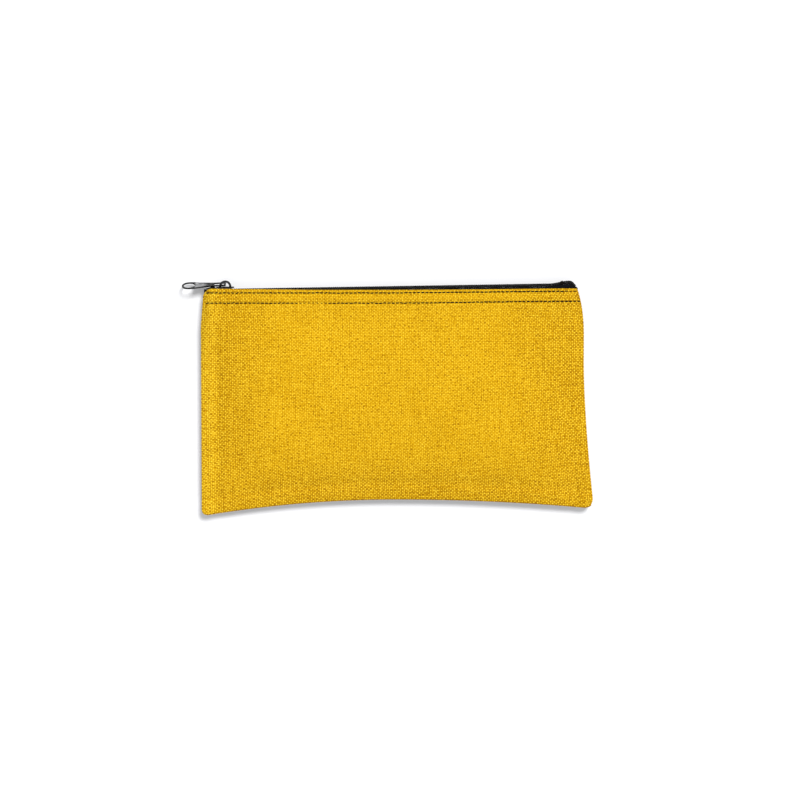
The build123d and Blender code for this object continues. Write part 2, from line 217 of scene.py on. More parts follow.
def tube(points, faces, path, radius, sides, up=(0, 0, 1)):
    """Adds a round tube with closed ends along path to the lists points and faces.
    radius is one number, or one for each point of the path."""
    path = np.asarray(path, float)
    radii = np.broadcast_to(radius, len(path))
    tangent = np.gradient(path, axis=0)
    tangent /= np.linalg.norm(tangent, axis=1)[:, None]
    across = np.cross(tangent, np.asarray(up, float))
    across /= np.linalg.norm(across, axis=1)[:, None]
    other = np.cross(across, tangent)
    start = len(points)
    turn = 2 * math.pi * np.arange(sides) / sides
    for p, a, b, r in zip(path, across, other, radii):
        points.extend(p + r * (math.cos(t) * a + math.sin(t) * b) for t in turn)
    faces.extend(grid_faces(len(path), sides, start, wrap=True))
    faces.append(tuple(range(start, start + sides)))
    end = start + (len(path) - 1) * sides
    faces.append(tuple(reversed(range(end, end + sides))))


def winding(turns, steps_per_turn):
    """The angle at each step of a helix."""
    return 2 * math.pi * np.arange(turns * steps_per_turn) / steps_per_turn


def steps(*marks):
    """Numbers from each mark to the next: (start, step), (next, step) ... (end, 0)."""
    out = []
    for (a, step), (b, _) in zip(marks, marks[1:]):
        n = max(1, int(round(abs(b - a) / step)))
        out.extend(a + (b - a) * i / n for i in range(n))
    return np.array(out + [marks[-1][0]])


# ---- node helpers ----
def material(name):
    mat = bpy.data.materials.new(name)
    mat.use_nodes = True
    return mat, mat.node_tree, mat.node_tree.nodes["Principled BSDF"]


def put(tree, node, inputs):
    """Sets the inputs of a node, each to a value or to the output of another node."""
    for key, value in inputs.items():
        if isinstance(value, bpy.types.NodeSocket):
            tree.links.new(value, node.inputs[key])
        else:
            node.inputs[key].default_value = value


def add(tree, kind, inputs=None, **settings):
    made = tree.nodes.new(kind)
    for key, value in settings.items():
        setattr(made, key, value)
    put(tree, made, inputs or {})
    return made


def calc(tree, operation, *values):
    return add(tree, "ShaderNodeMath", dict(enumerate(values)), operation=operation).outputs[0]


def centred(tree, value):
    return calc(tree, "SUBTRACT", value, 0.5)


def layered(tree, level, *layers):
    """Adds each (pattern, strength) to the level."""
    for pattern, strength in layers:
        level = calc(tree, "MULTIPLY_ADD", pattern, strength, level)
    return level


def mix(tree, share, a, b):
    """Colour a where share is 0 and b where it is 1."""
    made = add(tree, "ShaderNodeMix", data_type="RGBA")
    put(tree, made, {0: share, 6: a, 7: b})
    return made.outputs[2]


def mapped(tree, vector, **placing):
    """The vector moved, turned or stretched: Location, Rotation, Scale."""
    return add(tree, "ShaderNodeMapping", {"Vector": vector, **placing}).outputs[0]


def noise(tree, vector, scale, detail=2.0):
    made = add(tree, "ShaderNodeTexNoise", {"Vector": vector, "Scale": scale, "Detail": detail})
    return made.outputs["Fac"]


def between(tree, value, low, high, to_low=0.0, to_high=1.0):
    made = add(tree, "ShaderNodeMapRange", {"Value": value, "From Min": low, "From Max": high,
                                            "To Min": to_low, "To Max": to_high})
    return made.outputs["Result"]


def dot(tree, a, b):
    made = add(tree, "ShaderNodeVectorMath", {0: a, 1: b}, operation="DOT_PRODUCT")
    return made.outputs["Value"]


def bump(tree, height, depth, strength):
    """The normal of a height where 1 stands for depth millimetres."""
    made = add(tree, "ShaderNodeBump", {"Height": height, "Distance": depth * MM,
                                        "Strength": strength})
    return made.outputs["Normal"]


# ---- woven materials: lengths are millimetres on the cloth ----
CANVAS_WEAVE = {"warp_pitch": 1.3, "weft_pitch": 1.15, "wander": 0.8}
# the canvas runs from dark through middle to light with a level that mixes the cloth's own tone with painted shade
# and painted light
CANVAS_DARK = (0.36, 0.160, 0.0008, 1)
CANVAS_MIDDLE = (0.745, 0.405, 0.0030, 1)
CANVAS_LIGHT = (0.98, 0.68, 0.042, 1)
BOUNCE_GREY = (0.30, 0.285, 0.27, 1)
YARN_ROUNDNESS = 0.6
UNDER_HEIGHT = 0.55                      # of every second crossing, against 1 for the others
DRIFT_SCALE = 0.22
# the yarns are painted lighter where they stand high and darker where they sink: painted light and painted shade
# of the weave
YARN_MEAN = 0.42
YARN_DULL = 0.78                         # height of the flattest crossings
YARN_CONTRAST = 1.9
# the strength of each pattern in the colour of the canvas, and its scale
FLECKS, FLECK_SCALE = 1.5, 0.62
# the pits are dents in the cloth, painted darker: painted shade
PIT_SHADE, PIT_SCALE, PIT_RANGE = 0.75, 0.7, (0.62, 0.71)
PIT_PLACE = (40, 7, 0)                   # another part of the noise than the flecks use
STREAKS = 0.7
STREAK_SCALES = ((0.05, 0.8, 1), (0.75, 0.04, 1))
PATCHES, PATCH_SCALE = 0.3, 0.03
# near the seams and the foot, where the cloth turns away from the light, it is painted darker (painted shade), and
# the weave's pattern stands out more
EDGE_CONTRAST = 0.55                     # the weave stands out more near the seams,
EDGE_SHADE = 0.14                        # and the cloth is darker:
EDGE_SIDES = (80, 132)                   # this far from the middle
EDGE_FOOT = (34, 8)                      # and this far above the foot
OFF_CENTRE = 3.0                         # the middle of the cloth lies this far left of x = 0
LEFT_BAND = 0.3                          # the band along the left seam is lighter: painted light on the flat band that the turned-in ply presses up
LEFT_BAND_EDGE = (13, 9)
TAPE_WEAVE = {"warp_pitch": 0.55, "weft_pitch": 0.45, "wander": 0.2}
# the tape's yarns are painted lighter where they stand high and darker in the hollows: painted light and painted
# shade
TAPE_DARK = (0.001, 0.001, 0.0015, 1)
TAPE_LIGHT = (0.011, 0.011, 0.013, 1)
TAPE_DULL = 0.6


def weave_place(tree):
    """The weave coordinates: as a vector, along the cloth and up."""
    uv = add(tree, "ShaderNodeUVMap", uv_map="weave").outputs["UV"]
    place = add(tree, "ShaderNodeSeparateXYZ", {"Vector": uv})
    return uv, place.outputs[0], place.outputs[1]


def weave_nodes(tree, place, warp_pitch, weft_pitch, wander, dull):
    """Height of the crossing yarns of a plain weave. Each crossing has its own height, from
    dull to 1, and the yarns wander."""
    uv, along, up = place
    drift = add(tree, "ShaderNodeTexNoise", {"Vector": uv, "Scale": DRIFT_SCALE, "Detail": 3.0})
    split = add(tree, "ShaderNodeSeparateColor", {"Color": drift.outputs["Color"]})
    u = calc(tree, "MULTIPLY_ADD", split.outputs[0], wander, along)
    v = calc(tree, "MULTIPLY_ADD", split.outputs[1], wander, up)
    warp = calc(tree, "SINE", calc(tree, "MULTIPLY", u, math.pi / warp_pitch))
    weft = calc(tree, "SINE", calc(tree, "MULTIPLY", v, math.pi / weft_pitch))
    crossing = calc(tree, "MULTIPLY", warp, weft)
    other = calc(tree, "MULTIPLY", crossing, -1.0)
    over = calc(tree, "POWER", calc(tree, "MAXIMUM", crossing, 0.0), YARN_ROUNDNESS)
    under = calc(tree, "POWER", calc(tree, "MAXIMUM", other, 0.0), YARN_ROUNDNESS)
    height = calc(tree, "MULTIPLY_ADD", under, UNDER_HEIGHT, over)
    cell = add(tree, "ShaderNodeCombineXYZ", {
        0: calc(tree, "FLOOR", calc(tree, "DIVIDE", u, warp_pitch)),
        1: calc(tree, "FLOOR", calc(tree, "DIVIDE", v, weft_pitch))})
    random = add(tree, "ShaderNodeTexWhiteNoise", {"Vector": cell.outputs[0]},
                 noise_dimensions="3D").outputs["Value"]
    return calc(tree, "MULTIPLY", height, between(tree, random, 0, 1, dull, 1.0))


def canvas_material():
    mat, tree, shader = material("yellow_canvas")
    place = weave_place(tree)
    uv, along, up = place
    yarn = weave_nodes(tree, place, dull=YARN_DULL, **CANVAS_WEAVE)
    from_middle = calc(tree, "ABSOLUTE", calc(tree, "ADD", along, OFF_CENTRE))
    near_seam = calc(tree, "MAXIMUM", between(tree, from_middle, *EDGE_SIDES),
                     between(tree, up, *EDGE_FOOT))
    fleck = centred(tree, noise(tree, uv, FLECK_SCALE, 1.0))
    pits = between(tree, noise(tree, mapped(tree, uv, Location=PIT_PLACE), PIT_SCALE, 0.5),
                   *PIT_RANGE)
    streaks = [centred(tree, noise(tree, mapped(tree, uv, Scale=scale), 1.0))
               for scale in STREAK_SCALES]
    patch = centred(tree, noise(tree, uv, PATCH_SCALE, 3.0))
    left_band = between(tree, along, *(LEFT + inset for inset in LEFT_BAND_EDGE))

    # painted light and shade: the high yarns are lighter, the hollows and pits darker
    level = calc(tree, "MULTIPLY", calc(tree, "SUBTRACT", yarn, YARN_MEAN), YARN_CONTRAST)
    level = layered(tree, level, (fleck, FLECKS), *((s, STREAKS) for s in streaks), (pits, -PIT_SHADE))
    level = calc(tree, "MULTIPLY", level,
                 calc(tree, "MULTIPLY_ADD", near_seam, EDGE_CONTRAST, 1.0))
    # painted shade near the seams and the foot, and painted light on the band along the left seam
    level = layered(tree, level, (patch, PATCHES), (near_seam, -EDGE_SHADE),
                    (left_band, LEFT_BAND))
    low = mix(tree, between(tree, level, -1.0, 0.0), CANVAS_DARK, CANVAS_MIDDLE)
    color = mix(tree, between(tree, level, 0.0, 1.0), low, CANVAS_LIGHT)
    # light that bounces off the cloth stays grey, so that its shadow on the paper does too
    bounce = add(tree, "ShaderNodeLightPath").outputs["Is Diffuse Ray"]
    put(tree, shader, {
        "Base Color": mix(tree, bounce, color, BOUNCE_GREY),
        "Roughness": between(tree, yarn, 0, 1, 0.97, 0.82),
        "Specular IOR Level": 0.08,
        "Normal": bump(tree, calc(tree, "MULTIPLY_ADD", pits, -0.3, yarn), 0.25, 0.8)})
    return mat


def tape_material():
    mat, tree, shader = material("black_tape")
    # the height of the weave also sets the colour below: painted light and shade
    yarn = weave_nodes(tree, weave_place(tree), dull=TAPE_DULL, **TAPE_WEAVE)
    put(tree, shader, {
        "Base Color": mix(tree, yarn, TAPE_DARK, TAPE_LIGHT),
        "Roughness": 0.9,
        "Specular IOR Level": 0.1,
        "Normal": bump(tree, yarn, 0.1, 0.8)})
    return mat


# ---- nylon, thread and metal: noise scales are per metre ----
NYLON_DARK = (0.002, 0.002, 0.003, 1)
NYLON_LIGHT = (0.010, 0.010, 0.012, 1)
PLATING = (0.003, 0.003, 0.0035, 1)
PLATING_WORN = (0.05, 0.05, 0.055, 1)
# the pull's painted reflection: its brushed grey colours, and where along the pull it shows, fading into painted
# shade towards the slider
REFLECTION_DARK = (0.10, 0.10, 0.105, 1)
REFLECTION_LIGHT = (0.58, 0.58, 0.59, 1)
REFLECTION_LEFT = (9.0, 10.2)                # the flat is dull at the first and bright from the second
REFLECTION_RIGHT = (18.5, 15.0)              # of these distances from the left end of the pull
PULL_ROLL = math.radians(25.0)
PULL_DROOP = math.radians(2.5)
PULL_FACE = (-math.sin(PULL_DROOP) * math.cos(PULL_ROLL), -math.sin(PULL_ROLL),
             math.cos(PULL_DROOP) * math.cos(PULL_ROLL))
ONE_BAND = 0.3142                        # scale of a wave texture with one band per unit
THREAD_SLANT = (0.0, 0.6, 0.3)           # turn of the bands against a thread along x
THREADS = {                              # dark and light, for the painted shade and light of the twist, and length of one twist
    "black_thread": ((0.002, 0.001, 0.001, 1), (0.014, 0.009, 0.007, 1), 0.7),
    "yellow_thread": ((0.34, 0.16, 0.003, 1), (0.8, 0.47, 0.03, 1), 0.7),
    "core_cord": ((0.006, 0.006, 0.007, 1), (0.05, 0.05, 0.052, 1), 0.9),
}


def nylon_material():
    mat, tree, shader = material("black_nylon")
    place = add(tree, "ShaderNodeTexCoord").outputs["Object"]
    cloud = noise(tree, place, 900.0, 3.0)
    put(tree, shader, {
        "Base Color": mix(tree, cloud, NYLON_DARK, NYLON_LIGHT),
        "Roughness": between(tree, cloud, 0.3, 0.7, 0.16, 0.3),
        "Specular IOR Level": 0.2,
        "Normal": bump(tree, noise(tree, place, 4000.0), 0.02, 0.4)})
    return mat


def thread_material(name, dark, light, pitch):
    """Twisted thread: bands that slant round it, broken up by fine fibres. The bands are lighter on the ridges of
    the twist and darker in its grooves: painted light and painted shade.
    """
    mat, tree, shader = material(name)
    place = add(tree, "ShaderNodeTexCoord").outputs["Object"]
    bands = add(tree, "ShaderNodeTexWave", {
        "Vector": mapped(tree, place, Rotation=THREAD_SLANT), "Scale": ONE_BAND / (pitch * MM),
        "Distortion": 1.5, "Detail": 2.0}).outputs["Fac"]
    hair = noise(tree, place, 5000.0, 3.0)
    fibre = calc(tree, "MULTIPLY", bands, between(tree, hair, 0.25, 0.75, 0.6, 1.0))
    put(tree, shader, {
        "Base Color": mix(tree, fibre, dark, light),
        "Roughness": 0.8,
        "Specular IOR Level": 0.12,
        "Normal": bump(tree, fibre, 0.06, 0.9)})
    return mat


def slider_material():
    """Black plating, worn a little at the high places, with fine casting grain."""
    mat, tree, shader = material("plated_slider")
    place = add(tree, "ShaderNodeTexCoord").outputs["Object"]
    grain = noise(tree, place, 1600.0, 4.0)
    cloud = noise(tree, place, 260.0, 3.0)
    shape = add(tree, "ShaderNodeNewGeometry").outputs["Pointiness"]
    worn = between(tree, calc(tree, "MULTIPLY_ADD", cloud, 0.06, shape), 0.545, 0.6)
    put(tree, shader, {
        "Base Color": mix(tree, worn, PLATING, PLATING_WORN),
        "Metallic": 0.2,
        "Specular IOR Level": 0.1,
        "Roughness": between(tree, grain, 0.3, 0.7, 0.34, 0.5),
        "Normal": bump(tree, grain, 0.02, 0.5)})
    return mat


def pull_material():
    """Black plating on the rims and at both ends of the faces; between them, the flat of the faces is bright and
    brushed: a painted reflection, which fades into painted shade towards the slider.
    """
    mat, tree, shader = material("plated_pull")
    coords = add(tree, "ShaderNodeTexCoord")
    place = coords.outputs["Object"]
    facing = calc(tree, "ABSOLUTE", dot(tree, coords.outputs["Normal"], PULL_FACE))
    x = add(tree, "ShaderNodeSeparateXYZ", {"Vector": place}).outputs[0]
    left, right = (between(tree, x, (PULL_LEFT + off) * MM, (PULL_LEFT + full) * MM)
                   for off, full in (REFLECTION_LEFT, REFLECTION_RIGHT))
    scratch = noise(tree, mapped(tree, place, Scale=(260.0, 2600.0, 2600.0)), 1.0, 4.0)
    cloud = noise(tree, place, 420.0, 3.0)
    # painted reflection on the flat of the faces, between the plated ends
    painted_reflection = calc(tree, "MULTIPLY", between(tree, facing, 0.93, 0.985),
                  calc(tree, "MULTIPLY", left, right))
    painted_reflection = calc(tree, "MULTIPLY", painted_reflection, between(tree, cloud, 0.3, 0.65, 0.55, 1.0))
    reflection_color = mix(tree, scratch, REFLECTION_DARK, REFLECTION_LIGHT)
    put(tree, shader, {
        "Base Color": mix(tree, painted_reflection, PLATING, reflection_color),
        "Metallic": between(tree, painted_reflection, 0, 1, 0.2, 0.9),
        "Specular IOR Level": 0.1,
        "Roughness": between(tree, scratch, 0.25, 0.75, 0.24, 0.46),
        "Normal": bump(tree, scratch, 0.015, 0.5)})
    return mat


SLOTS = {"canvas": canvas_material(), "zipper_tape": tape_material(),
         "coil_nylon": nylon_material(), "slider_metal": slider_material(),
         "pull_metal": pull_material()}
SLOTS.update((name, thread_material(name, *look)) for name, look in THREADS.items())


def stand_in(piece, node, slot_name, pieces):
    """Shows the piece for a CAD node, in the material of a slot, and adds it to a list."""
    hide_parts(node)
    piece.data.materials.append(SLOTS[slot_name])
    pieces.append(piece)


# ---- the cloth walls ----
FRONT_BULGE = FRONT_DEPTH - CLOTH / 2
BACK_BULGE = BACK_DEPTH + 1.1            # more than there is room for, so that it lies flat
BACK_REST = BACK_DEPTH - CLOTH / 2       # middle of the cloth where the back lies flat
BACK_GIVE = 1.5
PILLOW_SIDE = 75                         # the bulge grows over this distance from a side
PILLOW_FOOT = 62                         # and over this one from the foot,
PILLOW_MOUTH = 72                        # and gives way to the hem from this far below the mouth
PLY_PRINTS = (1.0, 0.9, 0.6)             # how strongly the left, foot and right plies press through
BAND_RISE, BAND_FALL, BAND_HEIGHT = 2.5, 2.4, 0.5          # the flat band of a print
VALLEY_AT, VALLEY_WIDTH, VALLEY_DEPTH = 3.5, 3.0, 0.55     # the valley inside of it
ROW_WIDTH, ROW_DEPTH = 0.9, 0.35         # of the groove along a row of stitches
ROW_SIDE = (1, 5)                        # where it sets in, from a side
PUFF_AT = sum(STITCH_ROWS.values()) / 2
PUFF_WIDTH, PUFF_HEIGHT = 2.0, 0.25
# lengths along the sheet from a folded edge, where the lines of the mesh run
SEAM_LINES = steps((-ALLOWANCE + 0.5, 1.5), (-1.5, 0.3), (1.8, 0.6), (4.2, 1.2), (24, 0))
HEM_LINES = steps((16, 0.6), (1.2, 0.25), (-1.2, 0.8), (-HEM + 0.5, 0))
MIDDLE_COUNT = 188
RISE_COUNT = 98
# the cloth simulation
SIM_FRAMES = 18
SIM_CLOTH = {"quality": 5, "mass": 0.35, "tension_stiffness": 30, "compression_stiffness": 30,
             "shear_stiffness": 12, "bending_stiffness": 2.5, "vertex_group_mass": "held",
             "pin_stiffness": 1.0, "shrink_min": -0.012}
HELD_GAP = (2, 12)                       # distance from the seams and the hem: held, loose
WAVES, WAVE_HEIGHT = 14, 0.12
WAVE_RATES = (0.02, 0.16)                # radians per millimetre
MOVE_CAP = 2.6


def corner_round(x, z):
    """Moves points near the four corners of the outline onto rounded corners."""
    corners = (
        (LEFT, bottom_at(LEFT), 1, 1, CORNER["foot_left"]),
        (RIGHT_FOOT, bottom_at(RIGHT_FOOT), -1, 1, CORNER["foot_right"]),
        (LEFT + LEFT_LEAN, TOP, 1, -1, CORNER["mouth_left"]),
        (RIGHT_MIDDLE - RIGHT_LEAN, TOP, -1, -1, CORNER["mouth_right"]),
    )
    x, z = x.copy(), z.copy()
    for cx, cz, sx, sz, r in corners:
        a = (cx + sx * r - x) * sx / r
        b = (cz + sz * r - z) * sz / r
        near = (a > 0) & (b > 0)
        reach = np.maximum(a, b)
        scale = np.where(near, reach / np.maximum(np.hypot(a, b), 1e-9), 1.0)
        x = np.where(near, cx + sx * r - sx * r * a * scale, x)
        z = np.where(near, cz + sz * r - sz * r * b * scale, z)
    return x, z


def wall_depth(left, right, foot, mouth, bulge):
    """Middle of the outer ply from the seam plane, from the distances to the four edges."""
    side = np.minimum(left, right)
    pillow = EDGE + (bulge - EDGE) * ease(side / PILLOW_SIDE) * ease(foot / PILLOW_FOOT)
    upper = ramp(mouth, PILLOW_MOUTH, HEM)
    depth = pillow * (1 - upper) + hem_depth(side) * upper
    # the turned-in plies press through as a flat band with a valley beside it
    for distance, strength in zip((left, foot, right), PLY_PRINTS):
        past = distance - ALLOWANCE
        band = smooth(distance / BAND_RISE) * (1 - smooth((past + BAND_FALL / 2) / BAND_FALL))
        valley = dent(past - VALLEY_AT, VALLEY_WIDTH)
        depth += strength * (BAND_HEIGHT * band - VALLEY_DEPTH * valley) * (1 - upper)
    # the stitched rows pull the hem in, and the cloth puffs between them
    sewn = ramp(side, *ROW_SIDE)
    for below in STITCH_ROWS.values():
        depth -= ROW_DEPTH * dent(mouth - below, ROW_WIDTH) * sewn
    depth += PUFF_HEIGHT * dent(mouth - PUFF_AT, PUFF_WIDTH) * sewn
    return depth


def fold(s, radius):
    """A sheet rolled over an edge: distance from the edge and position across the fold
    (1 outside, 0 inside), for a signed length s along the sheet."""
    quarter = math.pi / 2 * radius
    turned = np.abs(s) < quarter
    angle = np.clip(s / radius, -math.pi / 2, math.pi / 2)
    distance = np.where(turned, radius * (1 - np.cos(angle)), radius + np.abs(s) - quarter)
    return distance, 0.5 + 0.5 * np.sin(angle)


def wall_grid(side, bulge):
    """Points of a wall's middle surface (rows up, columns across) on the side y >= 0, and the
    weave coordinates of each point."""
    seam_run, seam_across = fold(SEAM_LINES, SEAM_FOLD)
    hem_run, hem_across = fold(HEM_LINES, HEM_FOLD)
    reach = seam_run[-1] + CLOTH / 2
    hem_reach = hem_run[0] + CLOTH / 2
    share_up = np.linspace(0, 1, RISE_COUNT + 2)[1:-1][:, None]
    share_over = np.linspace(0, 1, MIDDLE_COUNT + 2)[1:-1][None, :]
    seams, hems = len(SEAM_LINES), len(HEM_LINES)
    rows, columns = seams + RISE_COUNT + hems, 2 * seams + MIDDLE_COUNT

    def heights(x):
        """The height of every row at the places x."""
        floor = bottom_at(np.broadcast_to(x, (rows, x.shape[1])))
        foot = floor[:seams] + CLOTH / 2 + seam_run[:, None]
        low = floor[seams:-hems] + reach
        rise = low + share_up * (TOP - hem_reach - low)
        hem = TOP - CLOTH / 2 - hem_run[:, None] + 0 * floor[-hems:]
        return np.concatenate([foot, rise, hem])

    def stations(z):
        """The place along x of every column at the heights z."""
        left, right = (np.broadcast_to(v, (len(z), columns)) for v in (left_at(z), right_at(z)))
        a, b = left[:, seams:-seams], right[:, seams:-seams]
        middle = a + reach + share_over * (b - a - 2 * reach)
        return np.concatenate([left[:, :seams] + CLOTH / 2 + seam_run, middle,
                               right[:, -seams:] - CLOTH / 2 - seam_run[::-1]], axis=1)

    # the sides lean and the bottom is arched, so that places and heights depend on each other
    level_x = stations(np.full((1, 1), TOP / 2))
    x = stations(heights(level_x))
    z = heights(x)
    # 1 where the sheet is the outer ply and 0 where it is turned in, at each kind of edge
    in_side = np.concatenate([seam_across, np.ones(MIDDLE_COUNT), seam_across[::-1]])[None, :]
    in_foot = np.concatenate([seam_across, np.ones(RISE_COUNT + hems)])[:, None]
    in_hem = np.concatenate([np.ones(seams + RISE_COUNT), hem_across])[:, None]
    depth = wall_depth(x - left_at(z), right_at(z) - x, z - bottom_at(x), TOP - z, bulge)
    if side > 0:
        over = np.maximum(depth - (BACK_REST - BACK_GIVE), 0)
        pressed = BACK_REST - BACK_GIVE + BACK_GIVE * np.tanh(over / BACK_GIVE)
        depth = np.where(over > 0, pressed, depth)
    outer = depth - (1 - in_hem) * 2 * HEM_FOLD
    y = INNER_PLY + in_side * in_foot * (outer - INNER_PLY)

    # the weave runs on round the folds at its own length
    turned = reach - SEAM_LINES[-1]
    along = np.concatenate([LEFT + turned + SEAM_LINES, level_x[0, seams:-seams],
                            right_at(TOP / 2) - turned - SEAM_LINES[::-1]])
    up = np.concatenate([SEAM_LINES, heights(np.zeros((1, 1)))[seams:-hems, 0] - ARCH,
                         TOP - ARCH - HEM_LINES])
    weave = np.stack(np.broadcast_arrays(along[None, :], up[:, None]), axis=-1)
    x, z = corner_round(x, z)
    shift, sunk = (climb(x), hem_dip(x, z)) if side < 0 else (-BACK_DROP, 0)
    return np.stack([x, y, z + shift * ramp(z, *SHIFT_HEIGHTS) - sunk], axis=-1), weave


def rumpled(points, loose, seed):
    """The points with low random waves, as high as loose says at each of them."""
    x, z = points[..., 0], points[..., 2]
    rng = np.random.default_rng(seed)
    out = points.copy()
    for _ in range(WAVES):
        kx, kz = rng.uniform(*WAVE_RATES, 2)
        px, pz = rng.uniform(0, 2 * math.pi, 2)
        out[..., 1] += WAVE_HEIGHT * np.sin(kx * x + px) * np.sin(kz * z + pz) * loose
    return out


def widen(values, count):
    """Works out all lines of a mesh along the first axis from every second one."""
    known = np.arange(0, count, 2)
    columns = values.reshape(len(values), -1).T
    out = np.stack([np.interp(np.arange(count), known, column) for column in columns], axis=1)
    return out.reshape(count, *values.shape[1:])


def slack(points, name, seed):
    """Cloth simulation of the loose middle of a wall, on every second line of its mesh: how far
    each point moves. The seams and the hem are held, and a little extra cloth lets it buckle."""
    coarse = points[::2, ::2]
    x, z = coarse[..., 0], coarse[..., 2]
    gap = np.minimum(np.minimum(side_gap(x, z), z - bottom_at(x)), TOP - HEM - z)
    in_place = 1 - ramp(gap, *HELD_GAP)
    obj = mesh_object(name, coarse.reshape(-1, 3), grid_faces(*coarse.shape[:2]))
    held = obj.vertex_groups.new(name="held")
    for i, weight in enumerate(in_place.ravel()):
        held.add([i], float(weight), "REPLACE")
    cloth = obj.modifiers.new("Cloth", "CLOTH")
    for key, value in SIM_CLOTH.items():
        setattr(cloth.settings, key, value)
    cloth.settings.effector_weights.gravity = 0.0
    cloth.collision_settings.use_collision = False
    cloth.collision_settings.use_self_collision = False
    cloth.point_cache.frame_start = 1
    cloth.point_cache.frame_end = SIM_FRAMES
    start = rumpled(coarse, 1 - in_place, seed)
    obj.data.vertices.foreach_set("co", ((start + FOOT) * MM).astype(np.float32).ravel())
    for number in range(1, SIM_FRAMES + 1):
        bpy.context.scene.frame_set(number)
    graph = bpy.context.evaluated_depsgraph_get()
    result = np.zeros(coarse.size, np.float32)
    obj.evaluated_get(graph).data.vertices.foreach_get("co", result)
    moved = result.reshape(coarse.shape) / MM - FOOT - coarse
    bpy.context.scene.frame_set(1)
    mesh = obj.data
    bpy.data.objects.remove(obj)
    bpy.data.meshes.remove(mesh)
    size = np.linalg.norm(moved, axis=-1, keepdims=True)
    moved *= np.minimum(1, MOVE_CAP / np.maximum(size, 1e-6))
    over = widen(moved.swapaxes(0, 1), points.shape[1]).swapaxes(0, 1)
    return widen(over, points.shape[0])


def make_wall(name, side, bulge, seed):
    """One cloth wall: side -1 is the front, 1 the back."""
    points, weave = wall_grid(side, bulge)
    points = points * (1, side, 1)
    points = points + slack(points, name + "_sim", seed)
    if side > 0:
        points[..., 1] = np.minimum(points[..., 1], BACK_REST)
    return sheet(name, points, weave, side, CLOTH)


front_cloth = make_wall("front_cloth", -1, FRONT_BULGE, 11)
back_cloth = make_wall("back_cloth", 1, BACK_BULGE, 12)
front_pieces, back_pieces = [], []
stand_in(front_cloth, "front_panel", "canvas", front_pieces)
stand_in(back_cloth, "back_panel", "canvas", back_pieces)


# ---- zipper ----
HUMP_START, HUMP_PEAK = 109.0, 123.0     # the chain's right end rises before it is tucked in
HUMP_RISE, HUMP_FALL, HUMP_POWER = 1.8, 3.0, 2.2
TUCK_START, TUCK_LENGTH = -127.2, 5      # and its left end rises here
TUCK_RISE = 2.2
TAPE = 0.5
TAPE_WALL = 4.9                          # from the seam plane to the tape's upright part
TAPE_NEAR = 0.27
TAPE_LEFT, TAPE_RIGHT = -137.2, 129.2
FINE_LEFT, FINE_RIGHT = -128, 108        # its mesh is finer beyond these
TAPE_EDGE = 0.6
TAPE_BEND = 0.9
TAPE_HANG, TAPE_DEPTH = 2.6, 12.6        # where the upright part starts and ends, downwards
TAPE_RIPPLE, TAPE_RIPPLES = 0.05, 60
HEM_INSIDE = 1.85                        # from the hem's outer ply to the middle of the tape
HEM_INSIDE_LEAST = 0.75
COIL_PITCH = 1.5
COIL_WIRE = 0.3
COIL_LEFT, COIL_RIGHT = -135.5, 128.3
COIL_STEPS = 16
COIL_MIDDLE, COIL_REACH = 1.275, 1.425   # across the chain
COIL_LEVEL, COIL_RISE = 1.12, 0.8        # up from the tape
COIL_PINCH = 0.35                        # share of its size that a coil keeps at its ends,
PINCH_LEFT, PINCH_RIGHT = 6, 4           # which are this long
THIN_SIDES, THICK_SIDES = 6, 8           # corners of a tube's cross section
CORD_RADIUS, CORD_TWIST, CORD_PITCH = 0.5, 0.07, 1.1
CORD_ASIDE, CORD_BELOW = 0.25, 0.1       # from the middle of the coil
LAID_THREAD = 0.17                       # radius of the threads on top of a coil,
LAID_LINES = (1.0, 2.05)                 # which lie this far from the middle of the chain
LAID_ABOVE = 0.1                         # and this far above its wire
LAID_SAG = 0.1
BASE_THREAD = 0.26                       # radius of the thread between coil and tape
BASE_LINE = 2.5
BASE_SINK = 0.05
TACK_TURNS = 5
TACK_ANGLE = 2.06 * math.pi              # one turn, which runs a little into the next
TACK_PITCH = 0.36
TACK_THREAD = 0.2
TACK_HALF, TACK_LEVEL, TACK_RISE = 2.95, 0.95, 1.72
TACKS = {"left_tack": -131.2, "right_tack": 117.2}


def chain(s, y, w):
    """Points of the zipper: s along the chain, y to the back and w up from the tape."""
    s, y, w = np.broadcast_arrays(s, y, w)
    points = s[..., None] * CHAIN_AXIS + w[..., None] * CHAIN_UP
    points[..., 1] += y
    points[..., 2] += CHAIN_HEIGHT
    return points


def lift(s):
    """How far the two ends of the chain are pushed up where they turn into the side seams."""
    hump = HUMP_RISE * ramp(s, HUMP_START, HUMP_PEAK)
    past_peak = np.clip((s - HUMP_PEAK) / (TAPE_RIGHT - HUMP_PEAK), 0, None)
    hump -= HUMP_FALL * past_peak ** HUMP_POWER
    return hump + TUCK_RISE * smooth((TUCK_START - s) / TUCK_LENGTH)


def hem_room(s):
    """Where the tape lies against the inside of the hem, which narrows towards the seams."""
    return np.clip(hem_depth(side_gap(s, TOP)) - HEM_INSIDE, HEM_INSIDE_LEAST, TAPE_WALL)


